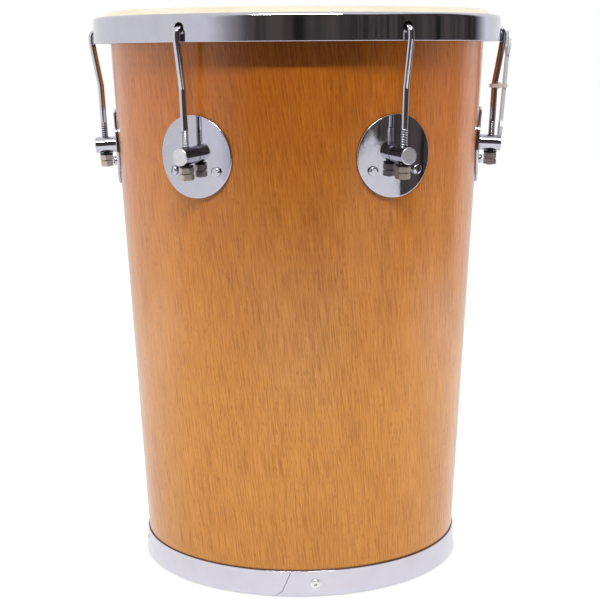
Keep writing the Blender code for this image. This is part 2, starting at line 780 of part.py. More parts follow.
def build_wrench():
    """Wrench that stands on its post and leans on the rod, its flat turned to the drum's circumference."""
    low, high = wrench_lean()
    along = (high - low).normalized()
    out = Vector((along.y, -along.x))
    angle = LUG_ANGLES[WRENCH_LUG]
    start = polar(angle, low.x, low.y)
    outward = polar(angle, 1, 0)
    rise = outward * along.x + Vector((0, 0, along.y))
    normal = outward * out.x + Vector((0, 0, out.y))
    across = rise.cross(normal)
    frame = Matrix.Identity(4)
    for column, axis in enumerate((across, rise, normal, start)):
        for row in range(3):
            frame[row][column] = axis[row]
    mesh = prism(wrench_outline(), 0, WRENCH_THICKNESS)
    return add("tuning_wrench", mesh, WRENCH_STEEL, frame)


def tie_section():
    """Circles round the rod and the wrench, as (centre, radius) in the plane of the strap that holds them."""
    low, high = wrench_lean()
    share = (TIE_HEIGHT - low.y) / (high.y - low.y)
    inner = low.x + (high.x - low.x) * share
    lean = abs(high.x - low.x) / (high.y - low.y) * TIE_WIDTH / 2
    side = WRENCH_HANDLE_WIDTH / 2
    steep = abs(rod_centre(TIE_HEIGHT + TIE_WIDTH / 2) - rod_centre(TIE_HEIGHT - TIE_WIDTH / 2)) / 2
    return [
        (Vector((rod_centre(TIE_HEIGHT), 0)), ROD_DIAMETER / 2 + steep),
        (Vector((inner + WRENCH_THICKNESS, side)), lean),
        (Vector((inner + WRENCH_THICKNESS, -side)), lean),
        (Vector((inner, side)), lean),
        (Vector((inner, -side)), lean),
    ]


def tie_outline(circles, grow):
    """Outline drawn tight round the circles, each grown by a distance."""
    points = []
    for centre, radius in circles:
        points += [centre + Vector(p) for p in polygon(TIE_STEPS, radius + grow, around=True)]
    return [points[i] for i in geometry.convex_hull_2d(points)]


def build_tie():
    """Flat strap drawn round the rod and the wrench, with its lock on the far side."""
    circles = tie_section()
    inner = tie_outline(circles, SEAT_GAP)
    outer = tie_outline(circles, SEAT_GAP + TIE_THICKNESS)
    half = TIE_WIDTH / 2
    strap = combined(prism(outer, -half, half), prism(inner, -TIE_WIDTH, TIE_WIDTH), "DIFFERENCE")

    rod, wrench = circles[0], circles[1]
    middle = (rod[0] + wrench[0]) / 2
    edge = (wrench[0] - rod[0]).normalized()
    square = Vector((-edge.y, edge.x))
    grip = SEAT_GAP + (rod[1] + wrench[1]) / 2 + TIE_THICKNESS / 2
    centre = middle + square * (grip + TIE_LOCK_DEPTH / 2)
    long = edge * TIE_LOCK_LENGTH / 2
    deep = square * TIE_LOCK_DEPTH / 2
    corners = [centre - long - deep, centre + long - deep, centre + long + deep, centre - long + deep]
    lock = prism(corners, -TIE_LOCK_WIDTH / 2, TIE_LOCK_WIDTH / 2)
    whole = combined(strap, lock, "UNION")

    angle = LUG_ANGLES[WRENCH_LUG]
    turn = Matrix.Rotation(math.radians(angle - 90), 4, "Z")
    return add("cable_tie", whole, NYLON, Matrix.Translation((0, 0, TIE_HEIGHT)) @ turn)


build_shell()
build_ring()
build_rivets()
build_hoop()
build_head()
build_flesh_hoop()
build_lugs()
build_wrench()
build_tie()
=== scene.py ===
import math

import bmesh
import bpy
from mathutils import Matrix, Vector


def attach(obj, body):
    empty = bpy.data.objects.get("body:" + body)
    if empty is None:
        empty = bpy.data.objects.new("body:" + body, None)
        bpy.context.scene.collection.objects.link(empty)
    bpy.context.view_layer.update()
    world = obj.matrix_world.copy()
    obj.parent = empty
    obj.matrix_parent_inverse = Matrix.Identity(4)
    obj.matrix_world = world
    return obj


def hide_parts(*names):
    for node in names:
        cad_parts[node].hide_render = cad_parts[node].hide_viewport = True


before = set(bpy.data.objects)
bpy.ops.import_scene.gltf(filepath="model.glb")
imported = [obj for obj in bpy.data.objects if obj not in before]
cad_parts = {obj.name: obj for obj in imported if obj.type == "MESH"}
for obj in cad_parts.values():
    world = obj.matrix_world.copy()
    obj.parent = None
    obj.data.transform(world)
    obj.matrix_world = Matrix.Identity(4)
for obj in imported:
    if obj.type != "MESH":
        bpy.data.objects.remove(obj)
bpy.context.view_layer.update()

# Sizes in metres and angles in degrees, as the solids have them. What differs: edges are rounded
# here, the thread is drawn coarser than it turns, and the hook's bend is tighter.

# Shell
TOTAL_HEIGHT = 0.450
HEAD_DIAMETER = 0.3048
FOOT_DIAMETER = 0.2572
WALL = 0.007
SKIN_THICKNESS = 0.0012
RING_THICKNESS = 0.0012
SEAT_GAP = 0.0003
SHELL_TOP = TOTAL_HEIGHT - SKIN_THICKNESS - SEAT_GAP
SHELL_FOOT = RING_THICKNESS + SEAT_GAP
TAPER = math.atan((HEAD_DIAMETER - FOOT_DIAMETER) / 2 / (SHELL_TOP - SHELL_FOOT))
BEARING_ROUND = 0.003
INNER_EDGE_ROUND = 0.0015
VENEER_MAP_RADIUS = 0.140

# Hoop and skin
HOOP_RADIUS = 0.1645
HOOP_TOP = 0.4456
HOOP_FOOT = 0.4252
HOOP_THICKNESS = 0.0015
HOOP_ROUND = 0.0030
HOOP_EDGE = 0.0005
HOOP_HOLE_HEIGHT = 0.0102
HOOP_HOLE_Z = HOOP_FOOT + HOOP_HOLE_HEIGHT
HOOP_HOLE_RADIUS = 0.00405
LIP_RADIUS = 0.1570
COLLAR_RADIUS = 0.1564
COLLAR_SLOPE_DROP = 0.0048
COLLAR_DROP = 0.019
CROWN_ROUND = 0.003
COLLAR_ROUND = 0.0015
# Painted shade on the skin tucked behind the hoop lies between these drops below the top
TUCK_SHADE_TOP_DROP = 0.0055
TUCK_SHADE_FOOT_DROP = 0.0075

# Foot ring, its seam and its rivets
RING_HEIGHT = 0.0210
RING_ROUND = 0.0015
RING_EDGE = 0.0004
SEAM_ANGLE = -5.2
SEAM_LEAN = 23.0
SEAM_GAP = 0.0005
SEAM_BEND = 0.002
SEAM_FLARE_HEIGHT = 0.0042
SEAM_FLARE = 58.0
RIVET_HEIGHT = 0.0107
RIVET_ANGLES = [5.0 + 90.0 * i for i in range(4)]
RIVET_BORE_RADIUS = 0.0012
RIVET_BORE_DEPTH = 0.006
RIVET_HEAD_RADIUS = 0.0040
RIVET_HEAD_HEIGHT = 0.0013
RIVET_FACE_RADIUS = 0.0026
RIVET_RIM_HEIGHT = 0.0004
RIVET_DOME = 0.0014
RIVET_SHANK_RADIUS = 0.0020
RIVET_TAIL_RADIUS = 0.0028
RIVET_TAIL_SLOPE = 0.0010
RIVET_TAIL_LENGTH = 0.0025

# Plates, posts and screws of the lugs
LUG_ANGLES = [-91.0 + 60.0 * i for i in range(6)]
LUG_HEIGHT = 0.3438
PLATE_HEIGHT = 0.3420
PLATE_RADIUS = 0.0310
PLATE_FACE = 0.0025
PLATE_RIM = 0.0007
PLATE_SHADE_HEIGHT = 0.0010
PLATE_SEAT = PLATE_FACE + SEAT_GAP
POST_RADIUS = 0.0065
POST_REACH = 0.0203
POST_EDGE = 0.0007
POST_FOOT_EDGE = 0.0003
BOLT_RADIUS = 0.003
BOLT_WASHER_RADIUS = 0.009
BOLT_WASHER_THICKNESS = 0.0015
BOLT_HEAD_RADIUS = 0.0048
BOLT_HEAD_HEIGHT = 0.004
WALL_CURVE_ROOM = 0.0005
SCREW_SIDE = 0.0190
SCREW_DROP = 0.0105
SCREW_HEAD_RADIUS = 0.00375
SCREW_HEAD_HEIGHT = 0.0025
SCREW_DOME = 0.0015
SCREW_SHANK_RADIUS = 0.00175
SCREW_SHANK_END = -0.003
SCREW_POINT = -0.0045
SCREW_SLOT_HALF = 0.0005
SCREW_SLOT_REACH = 0.006
SCREW_SLOT_DEPTH = 0.0011
SCREW_TURNS = {"a": 35, "b": -20}
SCREW_TURN_STEP = 47

# Rods, washers and nuts
ROD_STANDOFF = 0.0123
ROD_RADIUS = 0.0026
ROD_ROOM = 0.0004
ROD_EDGE = 0.0004
ROD_TAIL = 0.0188
ROD_TO_HOOP = 0.0010
THREAD_RADIUS = 0.0029
THREAD_PITCH = 0.0018
THREAD_DEPTH = 0.00075
THREAD_CREST = 1.2
THREAD_TOP = 0.0185
THREAD_TIP_TAPER = 0.0006
THREAD_TIP_LENGTH = 0.0012
HOOK_ROUND = 0.0038
HOOK_INSIDE_BAND = 0.0038
POST_TOP = LUG_HEIGHT + POST_RADIUS
JOG_START_SHARE = 0.55
JOG_END_RISE = 0.0018
JOG_START = POST_TOP + (HOOP_FOOT - POST_TOP) * JOG_START_SHARE
JOG_END = HOOP_FOOT + JOG_END_RISE
JOG_BEND = 0.012
WASHER_RADIUS = 0.0054
WASHER_THICKNESS = 0.0012
NUT_FLATS = 0.0098
NUT_HEIGHT = 0.0045
NUT_CHAMFER = 0.0006
NUT_FACE_SHARE = 0.97
NUT_CORNER_CLEAR = 1.02
NUT_ROOM = 0.0003
NUT_MOUTH_DEPTH = 0.0005
NUT_MOUTH_FLARE = 0.0025
NUT_TURN = 30.0
LOCK_TURN = 7.0

# How finely the round pieces are drawn, and how cutting tools stand past what they cut
DRUM_STEPS = 240
PLATE_STEPS = 96
PLATE_RINGS = 8
RIM_STEPS = 5
POST_STEPS = 64
NUT_STEPS = 48
SMALL_STEPS = 40
BORE_STEPS = 32
ROD_SIDES = 28
THREAD_RINGS = 8
FINE_EDGE = 0.0002
SHARP_ANGLE = 40
PLATE_SHARP_ANGLE = 50
ROD_SHARP_ANGLE = 32
ON_AXIS = 1e-7
LONG_SIDE = 0.0012
BRACE_STEP = 0.00025
PUNCH_REACH = 0.008
DRILL_REACH = 0.02
TOOL_OVERSHOOT = 0.002

# Names that pieces and materials share
SURFACE_MAP = "Surface"
# Painted shade: mesh mask for plate rims against the wood and for thread grooves
PAINTED_SHADE_MASK = "Painted shade"


def wall_radius(z):
    """Outer radius of the shell at a height."""
    return HEAD_DIAMETER / 2 - (SHELL_TOP - z) * math.tan(TAPER)


def off_wall(z, distance):
    """Radius, at a height, of a surface this far out from the shell's face."""
    return wall_radius(z) + distance / math.cos(TAPER)


def polar(angle, radius, z):
    """Point at an angle in degrees from the front, towards +X."""
    turn = math.radians(angle)
    return Vector((radius * math.sin(turn), -radius * math.cos(turn), z))


def about(axis, degrees):
    """Turn about an axis."""
    return Matrix.Rotation(math.radians(degrees), 4, axis)


def wall_frame(angle, z, distance=0.0):
    """Frame on the shell's face: X along its round, Y up the wall, Z square out of it."""
    turn = math.radians(angle)
    out = Vector((math.sin(turn), -math.cos(turn), 0))
    across = Vector((math.cos(turn), math.sin(turn), 0))
    rise = out * math.sin(TAPER) + Vector((0, 0, math.cos(TAPER)))
    normal = out * math.cos(TAPER) - Vector((0, 0, math.sin(TAPER)))
    place = Matrix((across, rise, normal)).transposed().to_4x4()
    place.translation = polar(angle, wall_radius(z), z) + normal * distance
    return place


def fillet(points, rounds, steps):
    """Path in a plane with its inner corners rounded; rounds has a radius for each of them."""
    path = [Vector(points[0])]
    for before, corner, after, radius in zip(points, points[1:], points[2:], rounds):
        corner = Vector(corner)
        back = (Vector(before) - corner).normalized()
        ahead = (Vector(after) - corner).normalized()
        half = back.angle(ahead) / 2
        centre = corner + (back + ahead).normalized() * radius / math.sin(half)
        first = corner + back * radius / math.tan(half) - centre
        last = corner + ahead * radius / math.tan(half) - centre
        sweep = first.angle_signed(last)
        for i in range(steps + 1):
            spoke = first.copy()
            spoke.rotate(Matrix.Rotation(-sweep * i / steps, 2))
            path.append(centre + spoke)
    path.append(Vector(points[-1]))
    return path


def rounded_loop(points, radius, steps):
    """Closed section with every corner rounded by one radius."""
    count = len(points)
    loop = []
    for i in range(count):
        trio = [points[i - 1], points[i], points[(i + 1) % count]]
        loop += fillet(trio, [radius], steps)[1:-1]
    return loop


def offset_path(points, distance):
    """Path moved sideways, to the left of its own direction."""
    moved = []
    for i, point in enumerate(points):
        before = points[max(i - 1, 0)]
        after = points[min(i + 1, len(points) - 1)]
        side = (after - before).normalized()
        moved.append(point + Vector((-side.y, side.x)) * distance)
    return moved


def finished_mesh(name, bm, sharp=SHARP_ANGLE):
    """Mesh from a closed bmesh, facing out and shaded smooth but for its sharp edges."""
    bmesh.ops.recalc_face_normals(bm, faces=bm.faces)
    mesh = bpy.data.meshes.new(name)
    bm.to_mesh(mesh)
    bm.free()
    mesh.shade_smooth()
    mesh.set_sharp_from_angle(angle=math.radians(sharp))
    return mesh


def braced(points, closed):
    """Section with a point set close to both ends of each long side, so that it shades flat."""
    ends = points[1:] + points[:1] if closed else points[1:]
    held = []
    for a, b in zip(points, ends):
        held.append(a)
        side = b - a
        if side.length > LONG_SIDE:
            step = side.normalized() * BRACE_STEP
            held += [a + step, b - step]
    return held if closed else held + [points[-1]]


def turned(name, section, steps, closed=True, map_radius=None):
    """Piece turned about Z from (radius, height) points; its map is in metres, round and along."""
    bm = bmesh.new()
    uv = bm.loops.layers.uv.new(SURFACE_MAP)
    points = braced([Vector(p) for p in section], closed)
    ring = points + [points[0]] if closed else points
    along = [0.0]
    for a, b in zip(ring, ring[1:]):
        along.append(along[-1] + (b - a).length)
    map_radius = map_radius or max(p.x for p in points)
    rows = []
    for p in points:
        if p.x < ON_AXIS:
            rows.append([bm.verts.new((0, 0, p.y))] * steps)
        else:
            rows.append([bm.verts.new(polar(360 * i / steps, p.x, p.y)) for i in range(steps)])
    for j in range(len(ring) - 1):
        lower = rows[j]
        upper = rows[(j + 1) % len(points)]
        for i in range(steps):
            k = (i + 1) % steps
            kept = []
            for corner in (
                (lower[i], i, j), (lower[k], i + 1, j),
                (upper[k], i + 1, j + 1), (upper[i], i, j + 1),
            ):
                if all(corner[0] is not other[0] for other in kept):
                    kept.append(corner)
            if len(kept) < 3:
                continue
            face = bm.faces.new([corner[0] for corner in kept])
            for loop, corner in zip(face.loops, kept):
                loop[uv].uv = (2 * math.pi * map_radius * corner[1] / steps, along[corner[2]])
    return finished_mesh(name, bm)


def bridge(bm, rows):
    """Faces between neighbouring rows of points; a row at the middle is one point repeated."""
    steps = len(rows[0])
    for lower, upper in zip(rows, rows[1:]):
        for i in range(steps):
            k = (i + 1) % steps
            corners = []
            for vert in (lower[i], lower[k], upper[k], upper[i]):
                if vert not in corners:
                    corners.append(vert)
            bm.faces.new(corners)


def prism(name, outline, low, high):
    """Piece from a flat outline in X and Y, raised along Z."""
    bm = bmesh.new()
    base = bm.faces.new([bm.verts.new((p[0], p[1], low)) for p in outline])
    raised = bmesh.ops.extrude_face_region(bm, geom=[base])
    top = [item for item in raised["geom"] if isinstance(item, bmesh.types.BMVert)]
    bmesh.ops.translate(bm, verts=top, vec=(0, 0, high - low))
    return finished_mesh(name, bm)


def circle(sides, radius, first=0.0):
    step = 2 * math.pi / sides
    turns = [first + step * i for i in range(sides)]
    return [(radius * math.cos(turn), radius * math.sin(turn)) for turn in turns]


def combined(first, second, operation):
    """Exact Boolean of two meshes, as a new mesh."""
    base = bpy.data.objects.new("blank", first)
    tool = bpy.data.objects.new("tool", second)
    for item in (base, tool):
        bpy.context.scene.collection.objects.link(item)
    modifier = base.modifiers.new("shape", "BOOLEAN")
    modifier.operation = operation
    modifier.solver = "EXACT"
    modifier.object = tool
    graph = bpy.context.evaluated_depsgraph_get()
    graph.update()
    result = bpy.data.meshes.new_from_object(base.evaluated_get(graph))
    bpy.data.objects.remove(base)
    bpy.data.objects.remove(tool)
    result.shade_smooth()
    result.set_sharp_from_angle(angle=math.radians(SHARP_ANGLE))
    return result


def placed(mesh, matrix):
    copy = mesh.copy()
    copy.transform(matrix)
    return copy


def joined(meshes):
    bm = bmesh.new()
    for mesh in meshes:
        bm.from_mesh(mesh)
    whole = bpy.data.meshes.new("joined")
    bm.to_mesh(whole)
    bm.free()
    return whole


def show(name, mesh, surface, body, node, matrix=None):
    """Finished piece: placed, given its finish, riding on its body in place of the plain solid."""
    piece = bpy.data.objects.new(name, mesh)
    bpy.context.scene.collection.objects.link(piece)
    if matrix is not None:
        piece.matrix_world = matrix
    piece.data.materials.clear()
    piece.data.materials.append(surface)
    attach(piece, body)
    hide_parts(node)


# Materials

FLOAT = "NodeSocketFloat"
VECTOR = "NodeSocketVector"


class Nodes:
    """Shorthand for wiring one node tree."""

    def __init__(self, tree):
        self.tree = tree

    def fill(self, node, inputs):
        """Links or sets the given inputs of a node."""
        for key, value in inputs.items():
            socket = node.inputs[key]
            if isinstance(value, bpy.types.NodeSocket):
                self.tree.links.new(value, socket)
            else:
                socket.default_value = value
        return node

    def add(self, kind, inputs=None, **settings):
        node = self.tree.nodes.new(kind)
        for key, value in settings.items():
            setattr(node, key, value)
        return self.fill(node, inputs or {})

    def math(self, operation, *values):
        inputs = dict(enumerate(values))
        return self.add("ShaderNodeMath", inputs, operation=operation).outputs[0]

    def centred(self, value, weight):
        """Swing of a 0-to-1 value about its middle, times a weight."""
        return self.math("MULTIPLY", self.math("SUBTRACT", value, 0.5), weight)

    def mix(self, factor, first, second, blend="MIX"):
        inputs = {0: factor, 6: first, 7: second}
        return self.add("ShaderNodeMix", inputs, data_type="RGBA", blend_type=blend).outputs[2]

    def axis(self, vector, index):
        return self.add("ShaderNodeSeparateXYZ", {"Vector": vector}).outputs[index]

    def stretch(self, vector, scale):
        return self.add("ShaderNodeMapping", {"Vector": vector, "Scale": scale}).outputs[0]

    def noise(self, vector, scale=1.0, detail=3.0, roughness=0.5):
        inputs = {"Vector": vector, "Scale": scale, "Detail": detail, "Roughness": roughness}
        return self.add("ShaderNodeTexNoise", inputs).outputs[0]

    def span(self, value, low, high, to_low=0.0, to_high=1.0, ease="LINEAR"):
        inputs = {
            "Value": value, "From Min": low, "From Max": high, "To Min": to_low, "To Max": to_high,
        }
        return self.add("ShaderNodeMapRange", inputs, interpolation_type=ease).outputs[0]

    def object_place(self):
        return self.add("ShaderNodeTexCoord").outputs["Object"]

    def handling(self, smudge, scratch):
        """Handling marks over the piece, from the sizes of smudges and scratches in metres."""
        inputs = {"Place": self.object_place(), "Smudge size": smudge, "Scratch size": scratch}
        return self.add("ShaderNodeGroup", inputs, node_tree=HANDLING).outputs

    def seen_directly(self, path):
        """One where the camera looks straight, or through something clear."""
        return self.math("MAXIMUM", path["Is Camera Ray"], path["Is Transmission Ray"])

    def bump(self, shader, height, depth, strength):
        inputs = {"Height": height, "Distance": depth, "Strength": strength}
        self.fill(shader, {"Normal": self.add("ShaderNodeBump", inputs).outputs[0]})


def opaque(colour):
    return (*colour, 1)


def group(name, inputs, outputs):
    """New shader node group with named sockets; returns it with its wiring hand and its ends."""
    tree = bpy.data.node_groups.new(name, "ShaderNodeTree")
    for label, kind, value in inputs:
        socket = tree.interface.new_socket(label, in_out="INPUT", socket_type=kind)
        if value is not None:
            socket.default_value = value
    for label in outputs:
        tree.interface.new_socket(label, in_out="OUTPUT", socket_type=FLOAT)
    hand = Nodes(tree)
    return tree, hand, hand.add("NodeGroupInput").outputs, hand.add("NodeGroupOutput")


# Wood grain: repeats per metre, round the shell and up it, and how strongly each layer shows.
GRAIN_LEAN = 0.096
GRAIN_SWAY = 0.012
SWAY_REPEATS = (9, 4, 1)
BROAD_REPEATS = (30, 6, 1)
BROAD_WEIGHT = 0.75
BAND_REPEATS = (130, 12, 1)
BAND_WEIGHT = 0.40
FIBRE_REPEATS = (1250, 42, 1)
FIBRE_WEIGHT = 2.7
FIBRE_RELIEF = 0.35
DASH_REPEATS = (1500, 170, 1)
CROWD_REPEATS = (60, 18, 1)


def wood_grain_group():
    """Straight-grained veneer: soft tone bands and short dark flecks, on a map in metres."""
    inputs = [
        ("Map", VECTOR, None), ("Lean", FLOAT, 0.0),
        ("Band strength", FLOAT, 1.0), ("Fleck amount", FLOAT, 1.0),
    ]
    tree, n, given, out = group("Wood grain", inputs, ["Tone", "Flecks", "Height"])
    where = given["Map"]
    sway = n.centred(n.noise(n.stretch(where, SWAY_REPEATS), detail=2.0), GRAIN_SWAY)
    slant = n.math("MULTIPLY", n.axis(where, 1), given["Lean"])
    shift = n.add("ShaderNodeCombineXYZ", {"X": n.math("ADD", sway, slant)}).outputs[0]
    bent = n.add("ShaderNodeVectorMath", {0: where, 1: shift}, operation="ADD").outputs[0]
    broad = n.noise(n.stretch(bent, BROAD_REPEATS), detail=2.0)
    bands = n.noise(n.stretch(bent, BAND_REPEATS), detail=2.0)
    fibres = n.noise(n.stretch(bent, FIBRE_REPEATS), detail=2.0, roughness=0.6)
    tone = n.centred(broad, BROAD_WEIGHT)
    tone = n.math("ADD", tone, n.centred(bands, BAND_WEIGHT))
    tone = n.math("ADD", tone, n.centred(fibres, FIBRE_WEIGHT))
    tone = n.math("MULTIPLY", tone, given["Band strength"])

    dashes = n.noise(n.stretch(bent, DASH_REPEATS), detail=1.0)
    crowd = n.noise(n.stretch(bent, CROWD_REPEATS), detail=2.0)
    limit = n.span(crowd, 0.35, 0.7, 0.66, 0.57)
    flecks = n.span(n.math("SUBTRACT", dashes, limit), 0.0, 0.10)
    flecks = n.math("MULTIPLY", flecks, given["Fleck amount"])
    height = n.math("SUBTRACT", n.math("MULTIPLY", fibres, FIBRE_RELIEF), flecks)
    n.fill(out, {"Tone": n.math("ADD", tone, 0.5), "Flecks": flecks, "Height": height})
    return tree


def handling_group():
    """Marks of handling on metal and varnish: soft smudges, fine scratches and dust specks."""
    inputs = [("Place", VECTOR, None), ("Smudge size", FLOAT, 0.02), ("Scratch size", FLOAT, 0.002)]
    tree, n, given, out = group("Handling marks", inputs, ["Smudges", "Scratches", "Specks"])
    where = given["Place"]
    coarse = n.math("DIVIDE", 1.0, given["Smudge size"])
    smudge = n.noise(where, coarse, detail=4.0, roughness=0.6)
    fine = n.math("DIVIDE", 1.0, given["Scratch size"])
    combed = {"Vector": where, "Rotation": (0.3, 0.5, 0.7), "Scale": (1, 0.06, 0.3)}
    hair = n.noise(n.add("ShaderNodeMapping", combed).outputs[0], fine, detail=2.0)
    speck = n.add("ShaderNodeTexVoronoi", {"Vector": where, "Scale": fine}).outputs[0]
    patchy = n.noise(where, coarse, detail=2.0)
    close = n.span(speck, 0.10, 0.05)
    n.fill(out, {
        "Smudges": n.span(smudge, 0.42, 0.72),
        "Scratches": n.span(hair, 0.66, 0.76),
        "Specks": n.math("MULTIPLY", close, n.span(patchy, 0.5, 0.7)),
    })
    return tree


WOOD_GRAIN = wood_grain_group()
HANDLING = handling_group()


def new_material(name, view_colour):
    surface = bpy.data.materials.new(name)
    surface.use_nodes = True
    surface.diffuse_color = opaque(view_colour)
    return surface, Nodes(surface.node_tree), surface.node_tree.nodes["Principled BSDF"]


VENEER_DARK = (0.42, 0.146, 0.016)
VENEER_HONEY = (0.575, 0.225, 0.030)
VENEER_PALE = (0.67, 0.288, 0.046)
FLECK_BROWN = (0.28, 0.080, 0.008)
# Painted shade: tint and heights over which the veneer darkens towards the hoop
TOP_SHADE_TINT = (0.84, 0.57, 0.21)
TOP_SHADE_HEIGHTS = (0.16, 0.40)
# Painted shadow: dark line on the wood just above the ring, where the ring's gap shades it
RING_GAP_SHADOW = (0.035, 0.016, 0.008)
RING_GAP_SHADOW_HEIGHTS = (RING_HEIGHT + 0.0016, RING_HEIGHT + 0.0004)


def varnished_wood():
    """Honey veneer under a clear satin varnish, painted darker towards the hoop as shade, with a
    painted shadow line on the wood just above the ring.
    """
    surface, n, shader = new_material("honey_veneer", (0.56, 0.27, 0.085))
    grain = n.add("ShaderNodeGroup", {
        "Map": n.add("ShaderNodeUVMap", uv_map=SURFACE_MAP).outputs[0],
        "Lean": GRAIN_LEAN, "Band strength": 0.8, "Fleck amount": 0.6,
    }, node_tree=WOOD_GRAIN).outputs
    ramp = n.add("ShaderNodeValToRGB", {"Fac": grain["Tone"]})
    stops = ramp.color_ramp.elements
    stops[0].position = 0.1
    stops[0].color = opaque(VENEER_DARK)
    stops[1].position = 0.9
    stops[1].color = opaque(VENEER_PALE)
    stops.new(0.5).color = opaque(VENEER_HONEY)
    colour = n.mix(grain["Flecks"], ramp.outputs[0], opaque(FLECK_BROWN))
    # Painted shade: the colour darkens towards the hoop, where less light falls
    height = n.axis(n.object_place(), 2)
    top_shade = n.mix(n.span(height, *TOP_SHADE_HEIGHTS), (1, 1, 1, 1), opaque(TOP_SHADE_TINT))
    colour = n.mix(1.0, colour, top_shade, "MULTIPLY")
    # Painted shadow: darkens the wood in a thin band just above the ring
    gap_shadow = n.math("MULTIPLY", n.span(height, *RING_GAP_SHADOW_HEIGHTS), 0.9)
    marks = n.handling(smudge=0.03, scratch=0.004)
    n.fill(shader, {
        "Base Color": n.mix(gap_shadow, colour, opaque(RING_GAP_SHADOW)),
        "Roughness": n.math("ADD", 0.42, n.math("MULTIPLY", marks["Smudges"], 0.08)),
        "Specular IOR Level": 0.12,
        "Coat Weight": 1.0,
        "Coat Roughness": 0.20,
    })
    n.bump(shader, grain["Height"], depth=0.00003, strength=0.3)
    return surface


# Painted shade colour for plate rims against the wood and for thread grooves
PAINTED_SHADE_DARK = (0.035, 0.033, 0.030)
WORN_PALE = (0.76, 0.75, 0.78)
WORN_GREY = (0.50, 0.48, 0.47)
END_FACE_EDGE = (0.0008, 0.0002)


def plated(name, colour, roughness, smudge, scratch, metal=1.0, painted_shade=False, end_face=None):
    """Chromed or plated metal with smudges and fine scratches.

    Where the piece's painted shade mask is set, the colour is painted dark as shade; end_face is the
    height, on the piece's own Z, of an end that is worn dull.
    """
    surface, n, shader = new_material(name, colour)
    marks = n.handling(smudge, scratch)
    dull = tuple(c * 0.86 for c in colour)
    spots = n.math("MAXIMUM", marks["Specks"], n.math("MULTIPLY", marks["Smudges"], 0.4))
    tint = n.mix(spots, opaque(colour), opaque(dull))
    rough = n.math("ADD", roughness, n.math("MULTIPLY", marks["Smudges"], 0.07))
    rough = n.math("ADD", rough, n.math("MULTIPLY", marks["Scratches"], 0.10))
    # Painted shade: darkens the colour where the mesh's shade mask is set
    if painted_shade:
        depth = n.add("ShaderNodeAttribute", attribute_name=PAINTED_SHADE_MASK).outputs["Fac"]
        tint = n.mix(depth, tint, opaque(PAINTED_SHADE_DARK))
    if end_face:
        low, high = [end_face - edge for edge in END_FACE_EDGE]
        end = n.span(n.axis(n.object_place(), 2), low, high)
        tint = n.mix(end, tint, n.mix(marks["Smudges"], opaque(WORN_PALE), opaque(WORN_GREY)))
        rough = n.math("ADD", rough, n.math("MULTIPLY", end, 0.26))
    n.fill(shader, {"Base Color": tint, "Metallic": metal, "Roughness": rough})
    wave = n.math("ADD", n.math("MULTIPLY", marks["Smudges"], 0.6), marks["Scratches"])
    n.bump(shader, wave, depth=0.00003, strength=0.25)
    return surface


SKIN_THIN = (0.80, 0.70, 0.50)
SKIN_CREAM = (0.90, 0.84, 0.68)
SKIN_TOOTH = (0.95, 0.90, 0.78)
# Painted shade for the tucked skin seen through the hook holes
SKIN_TUCK_SHADE = (0.045, 0.035, 0.028)


def drum_skin():
    """Cream skin with cloudy thickness and a fine tooth, with painted shade where it is tucked in
    behind the hoop.
    """
    surface, n, shader = new_material("cream_skin", (0.86, 0.80, 0.64))
    where = n.object_place()
    cloud = n.noise(where, scale=18.0, detail=5.0, roughness=0.6)
    fine = n.noise(where, scale=900.0, detail=3.0, roughness=0.6)
    colour = n.mix(n.span(cloud, 0.3, 0.7), opaque(SKIN_THIN), opaque(SKIN_CREAM))
    colour = n.mix(n.span(fine, 0.45, 0.75, 0.0, 0.25), colour, opaque(SKIN_TOOTH))
    # Painted shade: the tucked skin, seen through the hook holes, is painted nearly black
    low, high = [TOTAL_HEIGHT - drop for drop in (TUCK_SHADE_FOOT_DROP, TUCK_SHADE_TOP_DROP)]
    tuck_shade = n.span(n.axis(where, 2), low, high, 1.0, 0.0)
    n.fill(shader, {
        "Base Color": n.mix(tuck_shade, colour, opaque(SKIN_TUCK_SHADE)),
        "Roughness": n.span(cloud, 0.2, 0.8, 0.48, 0.62),
        "Subsurface Weight": 0.2,
        "Subsurface Radius": (0.003, 0.002, 0.001),
    })
    n.bump(shader, fine, depth=0.00006, strength=0.5)
    return surface


def black_steel():
    surface, n, shader = new_material("black_washer", (0.03, 0.03, 0.03))
    marks = n.handling(smudge=0.004, scratch=0.0008)
    n.fill(shader, {
        "Base Color": n.mix(marks["Scratches"], (0.018, 0.018, 0.020, 1), (0.12, 0.12, 0.12, 1)),
        "Metallic": 0.6,
        "Roughness": n.math("ADD", 0.34, n.math("MULTIPLY", marks["Smudges"], 0.2)),
    })
    n.bump(shader, marks["Smudges"], depth=0.00003, strength=0.4)
    return surface


def white_nylon():
    surface, n, shader = new_material("white_nylon", (0.85, 0.80, 0.78))
    marks = n.handling(smudge=0.005, scratch=0.0008)
    n.fill(shader, {
        "Base Color": n.mix(marks["Smudges"], (0.84, 0.79, 0.77, 1), (0.72, 0.66, 0.63, 1)),
        "Roughness": n.span(marks["Smudges"], 0, 1, 0.38, 0.55),
    })
    n.bump(shader, marks["Scratches"], depth=0.00004, strength=0.4)
    return surface


CHROME_COLOUR = (0.58, 0.575, 0.65)
BRIGHT = {"roughness": 0.035, "smudge": 0.012, "scratch": 0.0020}

